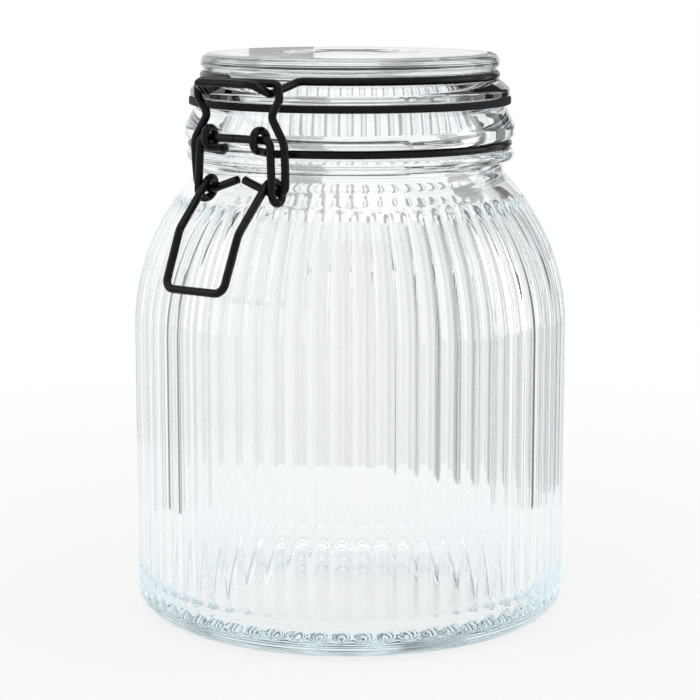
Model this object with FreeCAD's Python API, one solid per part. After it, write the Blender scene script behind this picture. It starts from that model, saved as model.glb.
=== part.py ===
"""Clip-top preserving jar of fluted glass, with its glass lid, rubber seal and wire closure.

Frame: millimetres, +Z up, origin on the table at the centre of the base.
The latch faces -Y and the hinge of the lid is at +Y.
"""
import FreeCAD
import Part
import math
import os

Vector = FreeCAD.Vector

# ---------------------------------------------------------------- driving dimensions
# glass jar
body_radius = 66.4
heel_radius = 7.5
bearing_width = 5.5            # flat ring that the jar stands on
punt_height = 2.2              # hollow under the base
neck_radius = 46.5
neck_fillet = 6.0
neck_drop = 18.04              # from the rim down to where the dome's fillet meets the neck
bead_drop = 15.1               # from the rim down to the centre of the bead below the neck wire
bead_section = 1.8             # half the height of the bead
bead_projection = 3.4
bead_rounding = 1.7
groove_rounding = 0.9
collar_radius = 50.2
collar_rounding = 2.0
collar_top_rounding = 3.0
rim_height = 156.6
rim_radius = 47.0
rim_rounding = 0.6
mouth_radius = 41.8
mouth_rounding = 1.5
wall = 3.0                     # glass left behind the deepest point of a flute
floor_thickness = 5.5
inner_heel_radius = 10.0
dome_thickening = 1.0          # the inside of the dome meets the mouth this much nearer the axis

# flutes
flute_count = 64
flute_nose = 4.6               # radius of the round-nosed flute
flute_depth = 1.15
flute_runout = 22.0            # radius on which a flute rises out of the glass at its ends
flute_bottom = 5.8             # height at which a flute has faded out above the heel
flute_top_angle = 39.0         # dome angle at which a flute has faded out below the neck
band_margin = 1.4              # plain glass kept past the ends of the flutes
blank_margin = 8               # degrees of dome kept above the flutes while they are cut
cutter_spread = 70             # how far the flute's tool swings clear of the glass at each end

# seal and lid
seal_radius = 49.0
seal_thickness = 2.2
seal_lap = 0.4                 # the seal stands this far into the mouth
seal_rounding = 0.4
flange_radius = 48.6
flange_edge = 2.4              # height of the upright edge of the flange
lid_height = 13.2              # from the underside of the flange to the top
lid_top_radius = 45.4
lid_top_rounding = 3.0
lid_groove_room = 0.35         # between the wire and the groove's walls, above and below
lid_band_rise = 1.3            # from the groove's upper wall to the plain band above it
lid_groove_wall = 44.0         # radius of the groove's upright wall behind the ring
plug_clearance = 1.0           # between the plug under the lid and the mouth
plug_depth = 3.6
plug_taper = 0.7
plug_width = 1.5               # slope of the hollow's side
lid_hollow_radius = 34.0
lid_hollow_depth = 3.0
lid_dish_radius = 20.0
lid_dish_depth = 0.5
lid_dish_edge = 1.5

# wire closure
wire_diameter = 2.4
groove_clearance = 0.3
collar_play = 0.05             # between the neck wire and the collar it hangs under
neck_groove_radius = 47.0      # glass radius at the bottom of the neck groove
neck_wire_leave = 25.0         # degrees from the latch at which the ring turns out to its eyes
neck_wire_end = 156.0          # degrees from the latch at which it turns out to the hinge bar
lid_wire_rise = 6.6            # lid wire above the underside of the flange
lid_groove_radius = 43.2
lid_wire_leave = 21.0
lid_wire_end = 165.0
bend = 2.7                     # usual bend radius of the wire
tight_bend = 2.0
corner_room = 0.1              # straight left between the arcs of an eye or a coil
eye_play = 0.25                # between a wire and the eye it turns in
wire_lift = 0.65               # play of the clamp bar over the two dips of the lid wire

pivot_reach = 56.0             # lever pivot, measured out from the jar's axis
pivot_drop = 7.3               # and down from the rim
eye_side = 8.8                 # eyes of the neck wire, sideways from the latch plane
eye_advance = 2.5              # sideways travel of the eye that the wire's end closes
eye_tail = 6.2                 # where that end stops
lever_side = 12.7              # lever links, sideways
coil_drop = 22.3
coil_side = 12.3
coil_play = 0.6                # between the clamp frame's stub pins and the coils of the lever
coil_stand_off = 0.62          # between the coils and the dome of the jar
coil_advance = 2.7             # sideways travel of one coil
handle_side = 10.5
coil_start = 0.25              # share of the coil's travel made on its lower side
coil_finish = 0.7              # and by the time it has risen on its inner side
handle_slope = 45.0
handle_knee = 68.2             # reach of the bend in the handle
handle_reach = 75.2
handle_drop = 49.1
handle_bend = 8.0
handle_corner = 3.0
butt_gap = 0.3                 # between the two ends of the lever wire

frame_side = 14.8              # clamp frame, sideways at its top bar
frame_hip = 16.4
frame_waist = 11.6
frame_foot = 16.1
frame_knee = 2.4               # the stub pins turn up this far inside the coils
frame_corners = [              # outward lean and height of the legs' bends, above the coils
    (0.5, 7.5), (0.9, 14.0), (0.7, 21.6), (1.0, 26.4)]
stub_rise = 3.0
stub_end = 1.2

dip_side = 11.7                # dips of the lid wire that take the clamp bar
dip_reach = 54.5
dip_drop = 3.1                 # below the ring of the lid wire
dip_lead = 3.0                 # straight of wire between the ring and a dip
dip_bend = 1.8
nose_side = 9.8                # front bar of the lid wire
nose_reach = 60.9
nose_drop = 0.1

hinge_reach = 54.2             # hinge bar at the back of the neck wire
hinge_drop = 6.0
hinge_side = 13.5
hinge_eye_side = 7.5
hinge_eye_tail = 1.4           # how far the hinge eyes stop short of closing

# ---------------------------------------------------------------- derived values
wire_radius = wire_diameter / 2
groove_section = wire_radius + groove_clearance
eye_radius = wire_diameter + eye_play          # centre line of the eyes
coil_radius = wire_diameter + coil_play        # centre line of the coils
neck_height = rim_height - neck_drop
bead_height = rim_height - bead_drop
pivot_height = rim_height - pivot_drop
hinge_height = rim_height - hinge_drop
coil_height = rim_height - coil_drop
handle_height = rim_height - handle_drop
# the shoulder is a dome struck from the axis, and its fillet meets the neck at neck_height
dome_centre_height = neck_height - math.sqrt(
    (body_radius + neck_fillet) ** 2 - (neck_radius + neck_fillet) ** 2)
coil_distance = body_radius + coil_radius + wire_radius + coil_stand_off
coil_reach = math.sqrt(
    coil_distance ** 2 - coil_side ** 2 - (coil_height - dome_centre_height) ** 2)
neck_ring = neck_groove_radius + wire_radius
neck_wire_height = bead_height + bead_section + groove_section
lid_base = rim_height + seal_thickness
lid_top = lid_base + lid_height
lid_ring = lid_groove_radius + wire_radius
lid_wire_height = lid_base + lid_wire_rise
dip_height = lid_wire_height - dip_drop
clamp_bar_height = dip_height + wire_diameter + wire_lift
inner_radius = body_radius - flute_depth - wall
flute_path = body_radius + flute_nose - flute_depth

os.makedirs("parts", exist_ok=True)


# ---------------------------------------------------------------- helpers
def section(points):
    """Face in the XZ plane from (radius, height) points; a third value rounds that corner."""
    corners = [Vector(p[0], 0, p[1]) for p in points]
    roundings = [p[2] if len(p) > 2 else 0 for p in points]
    return Part.Face(Part.Wire(rounded(corners, roundings, closed=True)))


def rounded(corners, roundings, closed=False):
    """Edges of a polyline whose corners are rounded to the given radii."""
    count = len(corners)
    starts, ends, middles = [], [], []
    for i, corner in enumerate(corners):
        radius = roundings[i]
        if radius == 0 or (not closed and i in (0, count - 1)):
            starts.append(corner)
            ends.append(corner)
            middles.append(None)
            continue
        back = (corners[i - 1] - corner).normalize()
        ahead = (corners[(i + 1) % count] - corner).normalize()
        half = back.getAngle(ahead) / 2
        middle_way = (back + ahead).normalize()
        starts.append(corner + back * (radius / math.tan(half)))
        ends.append(corner + ahead * (radius / math.tan(half)))
        middles.append(corner + middle_way * (radius / math.sin(half) - radius))
    edges = []
    for i in range(count):
        if middles[i] is not None:
            edges.append(Part.Arc(starts[i], middles[i], ends[i]).toShape())
        following = (i + 1) % count
        last = i == count - 1
        if (closed or not last) and ends[i].distanceToPoint(starts[following]) > 1e-6:
            edges.append(Part.makeLine(ends[i], starts[following]))
    return edges


def turned(face):
    """Solid of revolution of a face about the jar's axis."""
    return face.revolve(Vector(0, 0, 0), Vector(0, 0, 1), 360)


def disc_ring(radius, height, thickness_radius):
    """Torus about the jar's axis."""
    return Part.makeTorus(radius, thickness_radius, Vector(0, 0, height), Vector(0, 0, 1))


def front(side, reach, height):
    """Point on the latch's side of the jar."""
    return Vector(side, -reach, height)


def back(side, reach, height):
    """Point on the hinge's side of the jar."""
    return Vector(side, reach, height)


def ring_point(radius, height, angle):
    """Point on a ring, with the angle in degrees from -Y towards +X."""
    turn = math.radians(angle)
    return Vector(radius * math.sin(turn), -radius * math.cos(turn), height)


def ring_tangent(angle):
    """Direction of travel on a ring at that angle."""
    turn = math.radians(angle)
    return Vector(math.cos(turn), math.sin(turn), 0)


def ring_arc(radius, height, first, last):
    """Arc of a ring between two angles."""
    middle = (first + last) / 2
    points = [ring_point(radius, height, angle) for angle in (first, middle, last)]
    return Part.Arc(points[0], points[1], points[2]).toShape()


def wire_solid(edges):
    """Round wire swept along a chain of edges that meet smoothly."""
    path = Part.Wire(edges)
    first = path.OrderedEdges[0]
    vertex = path.OrderedVertexes[0].Point
    at_start = first.valueAt(first.FirstParameter).distanceToPoint(vertex) < 1e-6
    parameter = first.FirstParameter if at_start else first.LastParameter
    along = first.tangentAt(parameter)
    profile = Part.Wire(Part.Circle(vertex, along, wire_radius).toShape())
    sweep = Part.BRepOffsetAPI.MakePipeShell(path)
    sweep.setFrenetMode(False)
    sweep.add(profile)
    sweep.build()
    sweep.makeSolid()
    return sweep.shape()


def mirrored(points):
    """The same points on the left."""
    return [Vector(-p.x, p.y, p.z) for p in points]


def save(shape, name):
    shape.Solids[0].exportStep("parts/" + name + ".step")


# ---------------------------------------------------------------- glass jar
def dome_point(angle):
    """Point on the outside of the dome, with the angle in degrees above the level of its centre."""
    turn = math.radians(angle)
    return Vector(body_radius * math.cos(turn), 0, dome_centre_height + body_radius * math.sin(turn))


def body_blank():
    """Plain outside of the jar below the neck: heel, cylinder and dome, up to the neck fillet."""
    dome_start = Vector(body_radius, 0, dome_centre_height)
    dome_end = dome_point(flute_top_angle + blank_margin)
    heel_start = Vector(body_radius - heel_radius, 0, 0)
    heel_middle = Vector(body_radius - heel_radius * (1 - math.sqrt(0.5)), 0,
                         heel_radius * (1 - math.sqrt(0.5)))
    heel_end = Vector(body_radius, 0, heel_radius)
    return Part.Face(Part.Wire([
        Part.makeLine(Vector(0, 0, 0), heel_start),
        Part.Arc(heel_start, heel_middle, heel_end).toShape(),
        Part.makeLine(heel_end, dome_start),
        Part.Arc(dome_start, dome_point(flute_top_angle / 2), dome_end).toShape(),
        Part.makeLine(dome_end, Vector(0, 0, dome_end.z)),
        Part.makeLine(Vector(0, 0, dome_end.z), Vector(0, 0, 0))]))


def flute_cutter():
    """Round-nosed tool that follows the body and dome and leaves the glass on a curve at each end."""
    # the tool's section travels at flute_path; at the ends it swings outwards
    swing = flute_runout - flute_nose
    angle = math.degrees(math.acos((flute_runout - flute_depth) / flute_runout))
    length = flute_runout * math.sin(math.radians(angle))
    foot = flute_bottom + length
    shoulder = flute_top_angle - math.degrees(length / body_radius)
    circle = Part.Wire(Part.Circle(Vector(flute_path, 0, foot), Vector(0, 0, 1),
                                   flute_nose).toShape())
    straight = Part.Face(circle).extrude(Vector(0, 0, dome_centre_height - foot))
    run_low = Part.Face(circle).revolve(
        Vector(flute_path + swing, 0, foot), Vector(0, 1, 0), -cutter_spread)
    top_circle = circle.copy()
    top_circle.translate(Vector(0, 0, dome_centre_height - foot))
    over_dome = Part.Face(top_circle).revolve(
        Vector(0, 0, dome_centre_height), Vector(0, -1, 0), shoulder)
    end_circle = top_circle.copy()
    end_circle.rotate(Vector(0, 0, dome_centre_height), Vector(0, -1, 0), shoulder)
    slope = math.radians(shoulder)
    centre = Vector((flute_path + swing) * math.cos(slope), 0,
                    dome_centre_height + (flute_path + swing) * math.sin(slope))
    run_high = Part.Face(end_circle).revolve(centre, Vector(0, 1, 0), cutter_spread)
    return [straight, run_low, over_dome, run_high]


def fluted_band(low, high):
    """Solid of the fluted zone between two level planes, made of one sector turned round."""
    pitch = 360 / flute_count
    blank = body_blank().revolve(Vector(0, 0, 0), Vector(0, 0, 1), pitch)
    blank.rotate(Vector(0, 0, 0), Vector(0, 0, 1), -pitch / 2)
    slab = Part.makeBox(3 * body_radius, 2 * body_radius, high - low,
                        Vector(0, -body_radius, low))
    sector = blank.common(slab).cut(flute_cutter())
    outside = []
    for face in sector.Faces:
        middle = face.CenterOfMass
        normal = face.normalAt(*[sum(face.ParameterRange[i:i + 2]) / 2 for i in (0, 2)])
        level = abs(normal.z) > 0.999 and min(abs(middle.z - low), abs(middle.z - high)) < 0.01
        flat = face.Surface.TypeId == "Part::GeomPlane"
        if not flat and not level:
            outside.append(face)
    faces = []
    for step in range(flute_count):
        for face in outside:
            turned_face = face.copy()
            turned_face.rotate(Vector(0, 0, 0), Vector(0, 0, 1), step * pitch)
            faces.append(turned_face)
    shell = Part.Shell(Part.makeShell(faces).Faces)
    shell.sewShape()
    lids = []
    for height in (low, high):
        rim = [edge for edge in shell.Edges
               if abs(edge.BoundBox.ZMin - height) < 1e-4 and abs(edge.BoundBox.ZMax - height) < 1e-4]
        lids.append(Part.Face(Part.Wire(Part.__sortEdges__(rim))))
    closed = Part.Shell(shell.Faces + lids)
    closed.sewShape()
    solid = Part.Solid(closed)
    if solid.Volume < 0:
        solid.reverse()
    return solid


def neck_profile(low):
    """Outside of the jar above the flutes: dome, neck, bead, wire groove, collar and rim."""
    arc_radius = math.sqrt(body_radius ** 2 - (low - dome_centre_height) ** 2)
    # the fillet touches the dome from outside and the neck from outside
    centre_radius = neck_radius + neck_fillet
    centre_height = dome_centre_height + math.sqrt(
        (body_radius + neck_fillet) ** 2 - centre_radius ** 2)
    share = body_radius / (body_radius + neck_fillet)
    touch = Vector(centre_radius * share, 0,
                   dome_centre_height + (centre_height - dome_centre_height) * share)
    halfway = (math.pi + math.atan2(touch.z - centre_height, touch.x - centre_radius)
               % (2 * math.pi)) / 2
    fillet_middle = Vector(centre_radius + neck_fillet * math.cos(halfway), 0,
                           centre_height + neck_fillet * math.sin(halfway))
    neck_start = Vector(neck_radius, 0, centre_height)
    touch_angle = math.degrees(math.asin((touch.z - dome_centre_height) / body_radius))
    low_angle = math.degrees(math.asin((low - dome_centre_height) / body_radius))
    dome_middle = dome_point((low_angle + touch_angle) / 2)
    bead_low = bead_height - bead_section
    bead_high = bead_height + bead_section
    bead_radius = neck_radius + bead_projection
    groove_radius = neck_groove_radius - groove_clearance
    collar_low = neck_wire_height + wire_radius + collar_play
    outline = [
        (neck_radius, centre_height, 0), (neck_radius, bead_low, rim_rounding),
        (bead_radius, bead_low, bead_rounding), (bead_radius, bead_high, bead_rounding),
        (groove_radius, bead_high, groove_rounding), (groove_radius, collar_low, groove_rounding),
        (collar_radius, collar_low, collar_rounding),
        (collar_radius, collar_low + 2 * collar_rounding, collar_top_rounding),
        (rim_radius, rim_height, rim_rounding), (0, rim_height, 0)]
    upper = rounded([Vector(r, 0, z) for r, z, rounding in outline],
                    [rounding for r, z, rounding in outline])
    edges = [Part.makeLine(Vector(0, 0, low), Vector(arc_radius, 0, low)),
             Part.Arc(Vector(arc_radius, 0, low), dome_middle, touch).toShape(),
             Part.Arc(touch, fillet_middle, neck_start).toShape()]
    edges += upper
    edges.append(Part.makeLine(Vector(0, 0, rim_height), Vector(0, 0, low)))
    return Part.Face(Part.Wire(edges))


def heel_profile(high):
    """Outside of the jar below the flutes: bearing ring, heel and hollow base."""
    offset = heel_radius - high
    high_radius = body_radius - heel_radius + math.sqrt(heel_radius ** 2 - offset ** 2)
    turn = (math.asin(-offset / heel_radius) - math.pi / 2) / 2
    outer = body_radius - heel_radius
    heel_middle = Vector(outer + heel_radius * math.cos(turn), 0,
                         heel_radius + heel_radius * math.sin(turn))
    inner = outer - bearing_width
    return Part.Face(Part.Wire([
        Part.makeLine(Vector(0, 0, high), Vector(0, 0, punt_height)),
        Part.Arc(Vector(0, 0, punt_height), Vector(inner / 2, 0, punt_height * 0.75),
                 Vector(inner, 0, 0)).toShape(),
        Part.makeLine(Vector(inner, 0, 0), Vector(outer, 0, 0)),
        Part.Arc(Vector(outer, 0, 0), heel_middle, Vector(high_radius, 0, high)).toShape(),
        Part.makeLine(Vector(high_radius, 0, high), Vector(0, 0, high))]))


def cavity_profile():
    """Inside of the jar: floor, wall, dome and straight mouth."""
    neck_inside = dome_centre_height + math.sqrt(
        (inner_radius - dome_thickening) ** 2 - mouth_radius ** 2)
    outline = [
        Vector(0, 0, floor_thickness),
        Vector(inner_radius, 0, floor_thickness),
        Vector(inner_radius, 0, dome_centre_height)]
    lower = rounded(outline, [0, inner_heel_radius, 0])
    start = Vector(inner_radius, 0, dome_centre_height)
    end = Vector(mouth_radius, 0, neck_inside)
    height = neck_inside - dome_centre_height
    # arc through both ends that leaves the wall upright
    arc_radius = ((inner_radius - mouth_radius) ** 2 + height ** 2) / (
        2 * (inner_radius - mouth_radius))
    half_turn = math.asin(height / arc_radius) / 2
    middle = Vector(inner_radius - arc_radius * (1 - math.cos(half_turn)), 0,
                    dome_centre_height + arc_radius * math.sin(half_turn))
    above = rim_height + wall
    return Part.Face(Part.Wire(lower + [
        Part.Arc(start, middle, end).toShape(),
        Part.makeLine(end, Vector(mouth_radius, 0, above)),
        Part.makeLine(Vector(mouth_radius, 0, above), Vector(0, 0, above)),
        Part.makeLine(Vector(0, 0, above), Vector(0, 0, floor_thickness))]))


def glass_jar():
    """One thick shell of pressed glass with flutes from the heel to the neck."""
    low = flute_bottom - band_margin
    high = dome_centre_height + body_radius * math.sin(math.radians(flute_top_angle)) + band_margin
    outside = fluted_band(low, high).multiFuse(
        [turned(neck_profile(high)), turned(heel_profile(low))])
    jar = outside.cut(turned(cavity_profile()))
    mouth = [edge for edge in jar.Edges
             if abs(edge.BoundBox.ZMin - rim_height) < 1e-4
             and abs(edge.BoundBox.ZMax - rim_height) < 1e-4
             and abs(edge.BoundBox.XLength - 2 * mouth_radius) < 0.5]
    return jar.makeFillet(mouth_rounding, mouth)


# ---------------------------------------------------------------- seal and lid
def gasket():
    """Flat rubber ring squeezed between the rim and the lid."""
    inner = mouth_radius - seal_lap
    return turned(section([
        (inner, rim_height, seal_rounding), (seal_radius, rim_height, seal_rounding),
        (seal_radius, lid_base, seal_rounding), (inner, lid_base, seal_rounding)]))


def glass_lid():
    """Disc with a plug underneath, a sloping flange and a groove for its wire."""
    plug = mouth_radius - plug_clearance
    low = lid_base - plug_depth
    hollow = lid_base + lid_hollow_depth
    groove_low = lid_wire_height - wire_radius - lid_groove_room
    groove_high = lid_wire_height + wire_radius + lid_groove_room
    dish = lid_top - lid_dish_depth
    outline = [
        (0, hollow), (lid_hollow_radius, hollow, 1.5),
        (lid_hollow_radius + plug_width, low, 1.5), (plug - plug_taper, low, 1.2),
        (plug, lid_base, 0.3), (flange_radius, lid_base, 0.7),
        (flange_radius, lid_base + flange_edge, 1.4), (lid_top_radius, groove_low, 0.5),
        (lid_groove_wall, groove_low, 0.4), (lid_groove_wall, groove_high, 0.4),
        (lid_top_radius, groove_high + lid_band_rise, 0.8),
        (lid_top_radius, lid_top, lid_top_rounding),
        (lid_dish_radius + lid_dish_edge, lid_top, 1.0), (lid_dish_radius, dish, 1.0),
        (0, dish)]
    lid = turned(section(outline))
    return lid.cut(disc_ring(lid_ring, lid_wire_height, groove_section))


# ---------------------------------------------------------------- wire closure
def lid_wire():
    """Ring in the lid's groove, two dips and a front bar, and two eyes round the hinge bar."""
    start = ring_point(lid_ring, lid_wire_height, lid_wire_leave)
    lead = start - ring_tangent(lid_wire_leave) * dip_lead
    dip = front(dip_side, dip_reach, dip_height)
    nose = front(nose_side, nose_reach, lid_wire_height - nose_drop)
    half = [start, lead, dip, nose]
    points = half + mirrored(half)[::-1]
    bends = [0, tight_bend, dip_bend, tight_bend]
    front_edges = rounded(points, bends + bends[::-1])
    end = ring_point(lid_ring, lid_wire_height, lid_wire_end)
    away = ring_tangent(lid_wire_end)
    turn_in = end + away * ((end.x - hinge_eye_side) / -away.x)
    inner = hinge_reach - eye_radius
    outer = hinge_reach + eye_radius
    low = hinge_height - eye_radius
    high = hinge_height + eye_radius
    tail = [
        end, turn_in, back(hinge_eye_side, inner, lid_wire_height - wire_radius / 2),
        back(hinge_eye_side, inner, low), back(hinge_eye_side, outer, low),
        back(hinge_eye_side, outer, high), back(hinge_eye_side, inner + hinge_eye_tail, high)]
    eye_bend = eye_radius - corner_room
    tail_edges = rounded(tail, [0, tight_bend, bend, eye_bend, eye_bend, eye_bend, 0])
    right = [ring_arc(lid_ring, lid_wire_height, lid_wire_leave, lid_wire_end)] + tail_edges
    left = [edge.mirror(Vector(0, 0, 0), Vector(1, 0, 0)) for edge in right]
    return wire_solid(Part.__sortEdges__(left + front_edges + right))


def neck_wire():
    """Ring in the neck groove with two eyes for the lever in front and a hinge bar behind."""
    low = pivot_height - eye_radius
    high = pivot_height + eye_radius
    inner = pivot_reach - eye_radius
    outer = pivot_reach + eye_radius
    eye_bend = eye_radius - corner_room
    start = ring_point(neck_ring, neck_wire_height, neck_wire_leave)
    toward = ring_tangent(neck_wire_leave) * -1
    # the wire enters the right eye from below and ends inside it
    right_turn = start + toward * ((start.x - eye_side) / -toward.x)
    right_eye = [
        start, right_turn, front(eye_side, inner - bend, neck_wire_height + 0.3),
        front(eye_side, outer, low), front(eye_side, outer, high), front(eye_side, inner, high),
        front(eye_side + wire_radius / 2, inner - 0.6, pivot_height - 0.8)]
    right_edges = rounded(
        right_eye, [0, tight_bend, tight_bend, eye_bend, eye_bend, eye_bend, 0])
    # and climbs on the inner side of the left eye, goes round it and ends below it
    left_side = eye_side + eye_advance - 1.0
    left_turn = start + toward * ((start.x - left_side) / -toward.x)
    left_eye = [
        start, left_turn,
        front(left_side, inner - 0.9, neck_wire_height + 0.6),
        front(left_side - eye_advance * 0.25, inner, high),
        front(left_side - eye_advance * 0.5, outer, high),
        front(left_side - eye_advance * 0.75, outer, low),
        front(left_side - eye_advance, inner - 1.0, low - 0.6),
        front(eye_tail, inner - 1.3, low - 0.6)]
    left_edges = rounded(
        mirrored(left_eye), [0, 1.6, 1.4, eye_bend, eye_bend, eye_bend, dip_bend, 0])
    end = ring_point(neck_ring, neck_wire_height, neck_wire_end)
    away = ring_tangent(neck_wire_end)
    turn_out = end + away * ((end.x - hinge_side) / -away.x)
    half = [end, turn_out, back(hinge_side, hinge_reach, neck_wire_height + 0.4),
            back(hinge_side, hinge_reach, hinge_height)]
    hinge_points = half + mirrored(half)[::-1]
    hinge_edges = rounded(
        hinge_points, [0, tight_bend, bend, bend, bend, bend, tight_bend, 0])
    ring_right = ring_arc(neck_ring, neck_wire_height, neck_wire_leave, neck_wire_end)
    ring_left = ring_right.mirror(Vector(0, 0, 0), Vector(1, 0, 0))
    chain = right_edges + [ring_right] + hinge_edges + [ring_left] + left_edges
    return wire_solid(Part.__sortEdges__(chain))


def lever_wire():
    """Pivot bar through the eyes, links, one coil a side and the bent handle loop."""
    outer = coil_reach + coil_radius
    inner = coil_reach - coil_radius
    low = coil_height - coil_radius
    high = coil_height + coil_radius
    slope = math.radians(handle_slope)
    # the handle leaves the coil along the tangent on its upper outer side
    tangent_sum = coil_reach * math.sin(slope) + coil_height * math.cos(slope) + coil_radius
    leave_reach = (tangent_sum - high * math.cos(slope)) / math.sin(slope)
    knee_height = (tangent_sum - handle_knee * math.sin(slope)) / math.cos(slope)
    link = coil_side + coil_advance / 2
    leg = coil_side - coil_advance / 2
    coil_bend = coil_radius - corner_room
    half = [
        front(butt_gap / 2, pivot_reach, pivot_height),
        front(lever_side, pivot_reach, pivot_height),
        front(link, outer, low),
        front(link - coil_advance * coil_start, inner, low),
        front(link - coil_advance * coil_finish, inner, high),
        front(leg, leave_reach, high),
        front(leg - 0.2, handle_knee, knee_height),
        front(handle_side, handle_reach, handle_height)]
    roundings = [0, tight_bend, coil_bend, coil_bend, coil_bend, coil_bend,
                 handle_bend, handle_corner]
    points = half + mirrored(half)[::-1]
    return wire_solid(rounded(points, roundings + roundings[::-1]))


def clamp_frame():
    """Frame that hooks over the lid wire: top bar, waisted legs and two stub pins in the coils."""
    sides = [frame_hip, frame_hip, frame_waist, frame_side]
    half = [
        front(stub_end, coil_reach, coil_height + stub_rise),
        front(coil_side - frame_knee, coil_reach, coil_height),
        front(frame_foot, coil_reach, coil_height)]
    for side, (lean, rise) in zip(sides, frame_corners):
        half.append(front(side, coil_reach + lean, coil_height + rise))
    half.append(front(frame_side, dip_reach, clamp_bar_height))
    roundings = [0, frame_knee, frame_knee, 10.0, 6.0, 2.4, handle_corner, tight_bend]
    points = half + mirrored(half)[::-1]
    return wire_solid(rounded(points, roundings + roundings[::-1]))


if __name__ == "__main__":
    save(glass_jar(), "glass_jar")
    save(gasket(), "gasket")
    save(glass_lid(), "glass_lid")
    save(lid_wire(), "lid_wire")
    save(neck_wire(), "neck_wire")
    save(lever_wire(), "lever_wire")
    save(clamp_frame(), "clamp_frame")
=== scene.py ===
# %% [markdown]
# # A clip-top preserving jar of fluted glass
#
# The real object is a jar of pressed glass with 64 upright flutes, a glass lid on a rubber seal, and a
# closure bent from black coated wire. This script gives the fixed construction model its looks: it
# models the glass again as smooth meshes, gives every piece its finish, and sets up a plain studio.
# Clear glass has no look of its own. It shows what stands round it, bent, so the studio matters as
# much as the mesh.

import math

import bpy
import numpy as np
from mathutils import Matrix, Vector


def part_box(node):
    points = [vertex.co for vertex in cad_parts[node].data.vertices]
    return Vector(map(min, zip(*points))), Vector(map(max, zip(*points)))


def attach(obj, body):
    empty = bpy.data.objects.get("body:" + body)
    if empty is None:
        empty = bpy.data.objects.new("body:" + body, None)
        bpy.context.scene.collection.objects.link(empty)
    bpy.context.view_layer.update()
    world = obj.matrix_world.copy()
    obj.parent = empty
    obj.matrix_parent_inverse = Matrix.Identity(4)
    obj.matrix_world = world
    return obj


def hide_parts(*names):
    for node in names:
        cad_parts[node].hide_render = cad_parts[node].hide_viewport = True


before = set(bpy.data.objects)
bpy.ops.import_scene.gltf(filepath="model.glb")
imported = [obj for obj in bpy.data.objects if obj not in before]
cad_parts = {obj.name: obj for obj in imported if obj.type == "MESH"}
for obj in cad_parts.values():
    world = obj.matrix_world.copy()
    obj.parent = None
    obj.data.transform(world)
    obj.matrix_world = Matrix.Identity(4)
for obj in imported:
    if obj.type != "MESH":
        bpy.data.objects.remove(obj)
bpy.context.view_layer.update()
MM = 0.001
jar_low, jar_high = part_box("glass_jar")
lid_low, lid_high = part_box("glass_lid")
seal_low, seal_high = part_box("gasket")
print("jar %.1f mm wide, %.1f mm to the rim" % (2000 * jar_high.x, 1000 * jar_high.z))

# %% [markdown]
# ## Outlines
#
# A jar and its lid are turned forms. Each is a half outline of (radius, height) points in millimetres
# that is spun round the upright axis. Pressed glass has no sharp corners, so the helper takes the
# corners of the outline with a rounding for each, and lays a short arc of points on it.

# %% A rounded outline


def rounded_outline(corners, steps=7):
    """Points of an outline given as (radius, height, rounding) corners."""
    points = []
    last = len(corners) - 1
    for index, (radius, height, rounding) in enumerate(corners):
        here = Vector((radius, height))
        if rounding == 0 or index in (0, last):
            points.append(here)
            continue
        back = (Vector(corners[index - 1][:2]) - here).normalized()
        ahead = (Vector(corners[index + 1][:2]) - here).normalized()
        half = back.angle(ahead) / 2
        centre = here + (back + ahead).normalized() * rounding / math.sin(half)
        start = here + back * rounding / math.tan(half) - centre
        end = here + ahead * rounding / math.tan(half) - centre
        sweep = start.angle_signed(end)
        for step in range(steps + 1):
            turn = -sweep * step / steps
            points.append(centre + Vector((
                start.x * math.cos(turn) - start.y * math.sin(turn),
                start.x * math.sin(turn) + start.y * math.cos(turn))))
    return points


def arc(centre, radius, first, last, steps):
    """Points on an arc of an outline, with angles in degrees above the outward direction."""
    turns = [math.radians(first + (last - first) * step / steps) for step in range(steps + 1)]
    return [Vector((centre[0] + radius * math.cos(t), centre[1] + radius * math.sin(t))) for t in turns]


def tidy_outline(points):
    """The same outline without repeated points."""
    kept = [points[0]]
    for point in points[1:]:
        if (point - kept[-1]).length > 0.01:
            kept.append(point)
    return kept


# %% [markdown]
# ## Spinning an outline
#
# Blender's Screw modifier would spin an outline too, but here some rows of the mesh need more columns
# than others: the flutes take ten columns each, and the plain inside of the glass needs far fewer. So
# the mesh is laid row by row in code, and where the number of columns halves, a row of triangles joins
# the two. A row that is a single point closes the form at the axis.

# %% Spin rows into a mesh


def join_rows(faces, low, high):
    """Faces between two rows of vertex numbers, of the same, double or half count, or one point."""
    if len(low) == 1 or len(high) == 1:
        point, ring, turned_over = (low[0], high, True) if len(low) == 1 else (high[0], low, False)
        for i in range(len(ring)):
            a, b = ring[i], ring[(i + 1) % len(ring)]
            faces.append((point, b, a) if turned_over else (a, b, point))
    elif len(low) == len(high):
        for i in range(len(low)):
            j = (i + 1) % len(low)
            faces.append((low[i], low[j], high[j], high[i]))
    elif len(low) == 2 * len(high):
        for i in range(len(high)):
            j = (i + 1) % len(high)
            a, b, c = low[2 * i], low[2 * i + 1], low[(2 * i + 2) % len(low)]
            faces.extend([(a, b, high[i]), (b, high[j], high[i]), (b, c, high[j])])
    else:
        for i in range(len(low)):
            j = (i + 1) % len(low)
            a, b, c = high[2 * i], high[2 * i + 1], high[(2 * i + 2) % len(high)]
            faces.extend([(low[i], b, a), (low[i], low[j], b), (low[j], c, b)])


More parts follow.
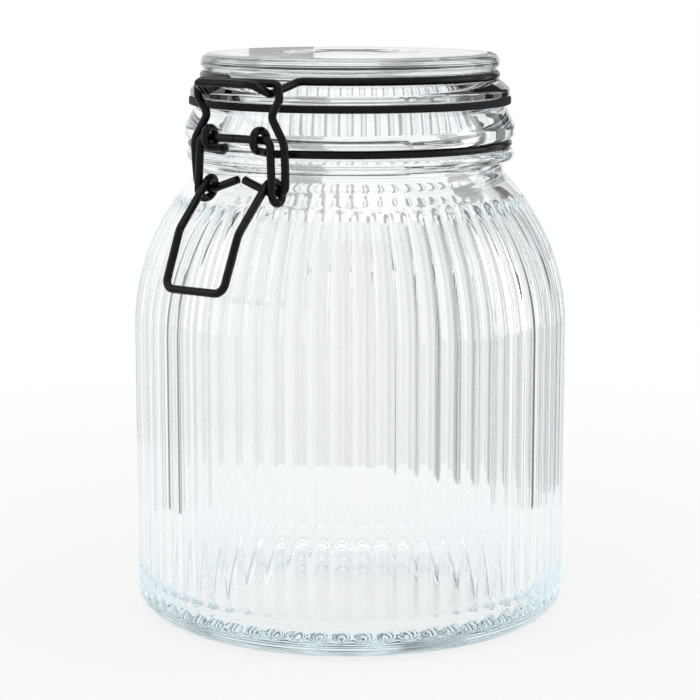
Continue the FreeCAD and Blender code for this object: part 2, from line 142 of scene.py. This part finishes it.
def spun_piece(name, rows):
    """A smooth closed mesh from rows of points in millimetres, in order along the outline."""
    points, rings, faces = [], [], []
    for row in rows:
        rings.append(list(range(len(points), len(points) + len(row))))
        points.extend(row)
    for low, high in zip(rings, rings[1:]):
        join_rows(faces, low, high)
    mesh = bpy.data.meshes.new(name)
    mesh.from_pydata([tuple(MM * c for c in p) for p in points], [], faces)
    mesh.validate()
    mesh.shade_smooth()
    piece = bpy.data.objects.new(name, mesh)
    bpy.context.scene.collection.objects.link(piece)
    print(name, "has", len(mesh.polygons), "faces")
    return piece


def plain_row(point, angles):
    """A level ring of points round the axis, or the axis point itself."""
    if point.x < 1e-6:
        return [(0.0, 0.0, point.y)]
    return [(point.x * math.cos(a), point.x * math.sin(a), point.y) for a in angles]


# %% [markdown]
# ## The flutes
#
# Each flute is a hollow, as a round-nosed tool would cut it: the tool follows the straight wall and the
# dome of the shoulder, and swings clear of the glass at both ends, which leaves a rounded end below the
# neck and another above the heel. Between two flutes stands a thin ridge. A displacement map could fake
# this, but glass bends light by the true slope of its surface, so each point of the mesh is pushed in
# along its normal until it lies on the tool's surface.

# %% How deep the flutes are
body_radius = 1000 * jar_high.x
rim_height = 1000 * jar_high.z
dome_height = 88.7
flute_count = 64
flute_nose = 4.6
flute_depth = 1.15
flute_runout = 22.0
flute_bottom = 5.8
flute_top = 39.0
ridge_softness = 0.16
tool_path = body_radius + flute_nose - flute_depth
run_length = flute_runout * math.sin(math.acos(1 - flute_depth / flute_runout))
tool_foot = flute_bottom + run_length
tool_shoulder = math.radians(flute_top) - run_length / body_radius
tool_swing = flute_runout - flute_nose


def tool_gap(x, y, z):
    """Distance from points to the surface of one flute's tool, less than 0 inside it."""
    low = np.abs(np.hypot(x - tool_path - tool_swing, z - tool_foot) - tool_swing)
    wall = np.abs(x - tool_path)
    rise = z - dome_height
    dome = np.abs(np.hypot(x, rise) - tool_path)
    far = tool_path + tool_swing
    high = np.abs(np.hypot(x - far * math.cos(tool_shoulder), rise - far * math.sin(tool_shoulder))
                  - tool_swing)
    turn = np.arctan2(rise, x)
    on_dome = np.where(turn < tool_shoulder, dome, high)
    across = np.where(z < tool_foot, low, np.where(rise < 0, wall, on_dome))
    return np.hypot(across, y) - flute_nose


def fluted_row(point, normal, angles, offsets):
    """A ring of points pushed in along the outline's normal as deep as the flutes go there."""
    depth = np.zeros(len(angles))
    for _ in range(24):
        radius = point.x - depth * normal.x
        gap = tool_gap(radius * np.cos(offsets), radius * np.sin(offsets), point.y - depth * normal.y)
        depth = np.clip(depth - 0.9 * gap, -0.8, 2.0)
    depth = (depth + np.sqrt(depth ** 2 + ridge_softness ** 2)) / 2
    radius = point.x - depth * normal.x
    return list(zip(radius * np.cos(angles), radius * np.sin(angles), point.y - depth * normal.y))


# %% Columns of the jar
pitch = 2 * math.pi / flute_count
shares = np.array([-1.0, -0.93, -0.8, -0.6, -0.3, 0.0, 0.3, 0.6, 0.8, 0.93]) * 0.5
offsets = np.tile(shares * pitch, flute_count)
fine_angles = offsets + np.repeat(np.arange(flute_count) * pitch, len(shares))
coarse_angles = fine_angles[::2]
print(len(fine_angles), "columns on the flutes,", len(coarse_angles), "elsewhere")

# %% [markdown]
# ## The jar
#
# From the middle of the hollow base the outline runs out to the ring it stands on, round the heel, up
# the fluted wall and dome, over the bead, the wire groove and the collar to the rim, and back down the
# plain inside to the thick floor. Glass needs both its faces: light bends at each one, and a single
# skin would look like a soap bubble.

# %% Outside of the jar
heel_radius = 7.5
heel_centre = (body_radius - heel_radius, heel_radius)
punt_height = 2.2
punt_radius = heel_centre[0] - 5.5
neck_radius = 46.5
neck_fillet = 6.0
mouth_radius = 41.8
inner_wall = 3.0

under = [Vector((punt_radius * s, punt_height * (1 - s * s))) for s in (0, 0.12, 0.3, 0.5, 0.7, 0.85, 0.94)]
under += [Vector((punt_radius, 0.04)), Vector((punt_radius + 1, 0)), Vector((heel_centre[0], 0))]
under += arc(heel_centre, heel_radius, -84, -48, 6)
fillet_out = neck_radius + neck_fillet
fillet_centre = (fillet_out, dome_height + math.sqrt((body_radius + neck_fillet) ** 2 - fillet_out ** 2))
touch = math.degrees(math.atan2(fillet_centre[1] - dome_height, fillet_centre[0]))
above = arc((0, dome_height), body_radius, 41.5, touch, 2)
above += arc(fillet_centre, neck_fillet, 180 + touch, 180, 8)
above += rounded_outline([
    (neck_radius, fillet_centre[1], 0), (neck_radius, 139.7, 0.6), (49.9, 139.7, 1.7),
    (49.9, 143.3, 1.7), (46.7, 143.3, 0.9), (46.7, 146.05, 0.9), (50.2, 146.05, 2.0),
    (50.2, 150.0, 3.0), (47.0, rim_height, 0.6), (mouth_radius, rim_height, 1.5),
    (mouth_radius, 150.0, 0)], 6)

# The fluted zone: outline points with their normals.
zone = []
for point, turn in zip(arc(heel_centre, heel_radius, -42, 0, 14), np.linspace(-42, 0, 15)):
    zone.append((point, Vector((math.cos(math.radians(turn)), math.sin(math.radians(turn))))))
for height in (8.2, 8.9, 9.5, 10.1, 10.7, 11.5, 13, 18, 32, 46, 60, 74, 82):
    zone.append((Vector((body_radius, height)), Vector((1, 0))))
dome_turns = list(np.linspace(0, math.degrees(tool_shoulder), 24))
dome_turns += list(np.linspace(math.degrees(tool_shoulder), 40.2, 14))[1:]
for turn in dome_turns:
    normal = Vector((math.cos(math.radians(turn)), math.sin(math.radians(turn))))
    zone.append((Vector((0, dome_height)) + normal * body_radius, normal))

# %% Inside of the jar
inner_radius = body_radius - flute_depth - inner_wall
floor_height = 5.5
inner_heel = 10.0
inner_top = dome_height + math.sqrt((inner_radius - 1) ** 2 - mouth_radius ** 2)
inner_rise = inner_top - dome_height
step_in = inner_radius - mouth_radius
dome_arc = (step_in ** 2 + inner_rise ** 2) / (2 * step_in)
inside = arc((inner_radius - dome_arc, dome_height), dome_arc,
             math.degrees(math.asin(inner_rise / dome_arc)), 0, 22)
inside += [Vector((inner_radius, h)) for h in (74, 60, 46, 32, 22)]
inside += arc((inner_radius - inner_heel, floor_height + inner_heel), inner_heel, 0, -90, 14)
inside += [Vector((r, floor_height)) for r in (46, 38, 28, 17, 7, 0)]

rows = [plain_row(p, coarse_angles) for p in tidy_outline(under)]
rows += [fluted_row(p, n, fine_angles, offsets) for p, n in zone]
rows += [plain_row(p, coarse_angles) for p in tidy_outline(above + inside)]
jar = spun_piece("jar_glass_body", rows)
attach(jar, "jar")
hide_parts("glass_jar")

# %% [markdown]
# ## The lid
#
# The lid is a thick glass disc. A sloping flange presses on the seal, a plug drops into the mouth, the
# wire lies in a groove above the flange, and the top has a shallow dish.

# %% Lid outline
lid_base = 1000 * seal_high.z
lid_top = 1000 * lid_high.z
flange_radius = 1000 * lid_high.x
plug_low = 1000 * lid_low.z
lid_outline = rounded_outline([
    (0, lid_base + 3.0, 0), (34.0, lid_base + 3.0, 1.5), (35.5, plug_low, 1.5),
    (40.1, plug_low, 1.2), (40.8, lid_base, 0.3), (flange_radius, lid_base, 0.7),
    (flange_radius, lid_base + 2.4, 1.4), (45.4, lid_base + 5.05, 0.5),
    (42.9, lid_base + 5.05, 1.5), (42.9, lid_base + 8.15, 1.5), (44.0, lid_base + 8.15, 0.2),
    (45.4, lid_base + 9.45, 0.8), (45.4, lid_top, 3.0),
    (21.5, lid_top, 1.0), (20.0, lid_top - 0.5, 1.0), (0, lid_top - 0.5, 0)], 8)
dense = []
for a, b in zip(lid_outline, lid_outline[1:]):
    parts = max(1, int((b - a).length // 5))
    dense += [a.lerp(b, i / parts) for i in range(parts)]
dense.append(lid_outline[-1])
lid_angles = np.linspace(0, 2 * math.pi, 256, endpoint=False)
lid = spun_piece("jar_glass_lid", [plain_row(p, lid_angles) for p in tidy_outline(dense)])
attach(lid, "lid")
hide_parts("glass_lid")

# %% [markdown]
# ## Writing finishes
#
# A finish is a small network of shader nodes. Wiring them by hand is long, so one class wraps a socket
# and lets ordinary arithmetic add the Math nodes, and another adds any other node in one call.

# %% Sockets as values


class Signal:
    """An output socket that can be used in sums."""

    def __init__(self, network, socket):
        self.network = network
        self.socket = socket

    def maths(self, operation, *values):
        """One Math node on these values."""
        return self.network.node("ShaderNodeMath", {"operation": operation},
                                 dict(enumerate(values)))

    def __add__(self, other):
        return self.maths("ADD", self, other)

    def __radd__(self, other):
        return self.maths("ADD", other, self)

    def __mul__(self, other):
        return self.maths("MULTIPLY", self, other)

    def __rmul__(self, other):
        return self.maths("MULTIPLY", other, self)

    def smooth_between(self, low, high):
        """0 below low, 1 above high, with a soft step between."""
        return self.network.node(
            "ShaderNodeMapRange", {"interpolation_type": "SMOOTHSTEP"},
            {"Value": self, "From Min": low, "From Max": high})


class Network:
    """The nodes of one material or world."""

    def __init__(self, tree):
        self.tree = tree
        tree.nodes.clear()

    def node(self, kind, settings=None, sockets=None, output=0):
        """Adds any node: its settings first, then the values or links of its sockets."""
        made = self.tree.nodes.new(kind)
        for key, value in (settings or {}).items():
            setattr(made, key, value)
        for key, value in (sockets or {}).items():
            if isinstance(value, Signal):
                self.tree.links.new(value.socket, made.inputs[key])
            else:
                made.inputs[key].default_value = value
        return Signal(self, made.outputs[output]) if len(made.outputs) else None

    def ramp(self, factor, stops):
        """Colour Ramp with (place, colour) stops."""
        made = self.tree.nodes.new("ShaderNodeValToRGB")
        elements = made.color_ramp.elements
        while len(elements) < len(stops):
            elements.new(0.5)
        for element, (place, colour) in zip(elements, stops):
            element.position = place
            element.color = colour
        self.tree.links.new(factor.socket, made.inputs[0])
        return Signal(self, made.outputs[0])


def finish(name):
    """A new material with an empty network."""
    material = bpy.data.materials.new(name)
    material.use_nodes = True
    return material, Network(material.node_tree)


# %% [markdown]
# ## Clear glass
#
# Pressed soda glass is almost colourless. Its faint blue-green shows only where light travels far
# through it, at the heel and along the edges, so the tint is in the volume and not on the surface.
# The mould leaves the face very slightly uneven, which a weak bump gives.

# %% Glass finishes


def clear_glass(name, tint, density, unevenness, scale):
    """Clear glass whose colour grows with the way through it."""
    material, net = finish(name)
    place = net.node("ShaderNodeTexCoord", output=3)
    waves = net.node("ShaderNodeTexNoise", {}, {"Vector": place, "Scale": scale, "Detail": 1.5})
    bump = net.node("ShaderNodeBump", {}, {"Height": waves, "Strength": unevenness, "Distance": 0.001})
    surface = net.node("ShaderNodeBsdfPrincipled", {}, {
        "Base Color": (0.985, 0.992, 0.995, 1), "Roughness": 0.015, "IOR": 1.5,
        "Transmission Weight": 1.0, "Normal": bump})
    volume = net.node("ShaderNodeVolumeAbsorption", {}, {"Color": tint, "Density": density})
    net.node("ShaderNodeOutputMaterial", {}, {"Surface": surface, "Volume": volume})
    return material


jar_finish = clear_glass("pressed jar glass", (0.58, 0.82, 0.89, 1), 4.0, 0.02, 60.0)
lid_finish = clear_glass("pressed lid glass", (0.64, 0.82, 0.72, 1), 3.0, 0.02, 60.0)
jar.data.materials.append(jar_finish)
lid.data.materials.append(lid_finish)

# %% [markdown]
# ## Black wire and black rubber
#
# The wire has a satin black coating with a faint orange-peel skin. The seal is matt rubber with a fine
# grain. Both are darker than such a coating usually is: under one percent of the light comes back from
# the wire's colour, and about one percent from the rubber's. What is seen of them is mostly the white
# room in their sheen, so the sheen is set low too.

# %% Wire and rubber finishes
wire_finish, net = finish("satin black wire coating")
place = net.node("ShaderNodeTexCoord", output=3)
skin = net.node("ShaderNodeTexNoise", {}, {"Vector": place, "Scale": 900.0, "Detail": 3.0})
wear = net.node("ShaderNodeTexNoise", {}, {"Vector": place, "Scale": 120.0, "Detail": 4.0})
bump = net.node("ShaderNodeBump", {}, {"Height": skin, "Strength": 0.12, "Distance": 0.0004})
colour = net.ramp(wear, [(0.35, (0.0015, 0.0015, 0.002, 1)), (0.7, (0.004, 0.004, 0.005, 1))])
surface = net.node("ShaderNodeBsdfPrincipled", {}, {
    "Base Color": colour, "Roughness": 0.18 + wear * 0.1, "Specular IOR Level": 0.14, "Normal": bump})
net.node("ShaderNodeOutputMaterial", {}, {"Surface": surface})

rubber_finish, net = finish("matt black rubber")
place = net.node("ShaderNodeTexCoord", output=3)
grain = net.node("ShaderNodeTexNoise", {}, {"Vector": place, "Scale": 1400.0, "Detail": 4.0})
bump = net.node("ShaderNodeBump", {}, {"Height": grain, "Strength": 0.3, "Distance": 0.0003})
colour = net.ramp(grain, [(0.3, (0.005, 0.005, 0.006, 1)), (0.7, (0.011, 0.011, 0.013, 1))])
surface = net.node("ShaderNodeBsdfPrincipled", {}, {
    "Base Color": colour, "Roughness": 0.55 + grain * 0.15, "Specular IOR Level": 0.12, "Normal": bump})
net.node("ShaderNodeOutputMaterial", {}, {"Surface": surface})

wires = ("neck_wire", "lid_wire", "lever_wire", "clamp_frame")
for name in wires:
    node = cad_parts[name]
    node.data.materials.clear()
    node.data.materials.append(wire_finish)
    node.data.shade_smooth()
    node.data.set_sharp_from_angle(angle=math.radians(40))
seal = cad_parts["gasket"]
seal.data.materials.clear()
seal.data.materials.append(rubber_finish)
print(len(wires), "wires and the seal have their finishes")

# %% [markdown]
# ## The studio
#
# The room is one plain white. Light Path tells the world which kind of ray asks: the camera, mirror-like
# reflections and rays that pass through the glass all see white, and the light that falls on the matt
# pieces is a little weaker, so the lamps can shape them. The floor glows white to the same rays, but
# near the jar a fifth of it stays matt paint, which keeps the jar's shadow.

# %% Room light
room_level = 0.6
room = bpy.data.worlds.new("white room")
room.use_nodes = True
bpy.context.scene.world = room
net = Network(room.node_tree)


def sees_background(net):
    """One where the camera, a reflection or a view through glass looks, nought for plain light."""
    share = net.node("ShaderNodeLightPath", output="Is Camera Ray")
    for kind in ("Is Glossy Ray", "Is Transmission Ray"):
        ray = net.node("ShaderNodeLightPath", output=kind)
        share = net.node("ShaderNodeMath", {"operation": "MAXIMUM"}, {0: share, 1: ray})
    return share


plain = (room_level, room_level, room_level, 1)
colour = net.node("ShaderNodeMix", {"data_type": "RGBA"},
                  {0: sees_background(net), 6: plain, 7: (1, 1, 1, 1)}, output=2)
background = net.node("ShaderNodeBackground", {}, {"Color": colour, "Strength": 1.0})
net.node("ShaderNodeOutputWorld", {}, {"Surface": background})
print("the room lights the matt pieces at", room_level, "and looks white")

# %% Floor
floor_mesh = bpy.data.meshes.new("floor")
reach = 30.0
drop = -0.0002
floor_mesh.from_pydata([(-reach, -reach, drop), (reach, -reach, drop), (reach, reach, drop),
                        (-reach, reach, drop)],
                       [], [(0, 1, 2, 3)])
floor = bpy.data.objects.new("floor", floor_mesh)
bpy.context.scene.collection.objects.link(floor)
floor_finish, net = finish("white floor")
shadow_reach = 0.10
all_white_from = 0.45
near_glow = 0.8
place = net.node("ShaderNodeTexCoord", output="Object")
distance = net.node("ShaderNodeVectorMath", {"operation": "LENGTH"}, {0: place}, output="Value")
far = distance.smooth_between(shadow_reach, all_white_from)
paint = net.node("ShaderNodeBsdfDiffuse", {}, {"Color": (0.86, 0.86, 0.87, 1)})
glow = net.node("ShaderNodeEmission", {}, {"Color": (1, 1, 1, 1), "Strength": 1.0})
both = net.node("ShaderNodeMixShader", {},
                {0: sees_background(net) * (near_glow + far * (1 - near_glow)), 1: paint, 2: glow})
net.node("ShaderNodeOutputMaterial", {}, {"Surface": both})
floor_mesh.materials.append(floor_finish)
print("floor", 2 * reach, "m wide, all white from", all_white_from, "m")

# %% [markdown]
# ## Cards and lamps
#
# Clear glass in a white room would vanish. So dark cards stand round it, hidden from the camera: the
# glass bends their image into its edges and flutes, which draws them as grey lines. They stand clear of
# the open lid, whose wire stays within 175 mm. Three large soft lamps are weak, so that a colour looks
# about as it is written.
#
# Every bearing is measured round from the camera, to its left when negative.

# %% Where things stand
view_azimuth = 36.0
aim = Vector((0, 0, 0.09))


def stand(bearing_degrees, elevation_degrees, distance):
    """The place at this distance from the middle of the jar."""
    turn = math.radians(view_azimuth + bearing_degrees)
    lift = math.radians(elevation_degrees)
    return aim + distance * Vector((math.sin(turn) * math.cos(lift), -math.cos(turn) * math.cos(lift),
                                    math.sin(lift)))


# %% Cards
card_distance = 0.19
card_bottom = 0.001
card_top = 0.40


def card(name, bearing_degrees, width, grey):
    """An upright card that only reflections and the view through glass can see."""
    finish_of_card, net = finish(name)
    glow = net.node("ShaderNodeEmission", {}, {"Color": (grey, grey, grey, 1), "Strength": 1.0})
    net.node("ShaderNodeOutputMaterial", {}, {"Surface": glow})
    middle = stand(bearing_degrees, 0, card_distance)
    turn = math.radians(view_azimuth + bearing_degrees)
    across = Vector((math.cos(turn), math.sin(turn), 0)) * width / 2
    corners = [middle - across, middle + across, middle + across, middle - across]
    heights = [card_bottom, card_bottom, card_top, card_top]
    mesh = bpy.data.meshes.new(name)
    mesh.from_pydata([(c.x, c.y, z) for c, z in zip(corners, heights)], [], [(0, 1, 2, 3)])
    mesh.materials.append(finish_of_card)
    piece = bpy.data.objects.new(name, mesh)
    piece.visible_camera = False
    piece.visible_diffuse = False
    piece.visible_shadow = False
    bpy.context.scene.collection.objects.link(piece)
    print(name, "stands at", [round(c, 2) for c in middle])


card("right black card", 135, 0.06, 0.08)
card("right side black card", 105, 0.035, 0.15)
card("left grey card", -100, 0.045, 0.3)
card("back grey card, right", 160, 0.025, 0.4)
card("back grey card, left", -172, 0.025, 0.5)

# %% Lamps


def soft_box(name, bearing_degrees, elevation, distance, width, height, power):
    """A rectangular lamp that looks at the jar."""
    spot = stand(bearing_degrees, elevation, distance)
    data = bpy.data.lights.new(name, "AREA")
    data.shape = "RECTANGLE"
    data.size = width
    data.size_y = height
    data.energy = power
    lamp = bpy.data.objects.new(name, data)
    lamp.location = spot
    lamp.rotation_euler = (aim - spot).to_track_quat("-Z", "Y").to_euler()
    bpy.context.scene.collection.objects.link(lamp)
    print(name, "stands at", [round(c, 2) for c in spot])


soft_box("left soft box", -80, 20, 1.1, 0.6, 0.9, 2)
soft_box("right soft box", 92, 10, 1.0, 0.8, 0.8, 3)
soft_box("top soft box", 10, 78, 1.2, 0.9, 0.9, 4)

# %% [markdown]
# ## The camera
#
# A long lens from a little above the lid, so the rings of the closure show as flat ovals.

# %% Camera
camera_distance = 0.7036
camera_height = 0.2019
camera_data = bpy.data.cameras.new("camera")
camera_data.lens = 118.29
camera_data.sensor_width = 36.0
camera = bpy.data.objects.new("camera", camera_data)
turn = math.radians(view_azimuth)
camera.location = (camera_distance * math.sin(turn), -camera_distance * math.cos(turn), camera_height)
pitch_down = math.radians(9.817)
camera.rotation_euler = (math.pi / 2 - pitch_down, 0, turn)
bpy.context.scene.collection.objects.link(camera)
bpy.context.scene.camera = camera
bpy.context.scene.view_settings.view_transform = "Standard"
print("camera %.0f mm up, lens %.1f mm" % (1000 * camera_height, camera_data.lens))

# Light is caught inside the flutes and the heel many times over. With few bounces those places turn
# black, so all three limits are high.
bpy.context.scene.cycles.max_bounces = 64
bpy.context.scene.cycles.transmission_bounces = 64
bpy.context.scene.cycles.glossy_bounces = 48
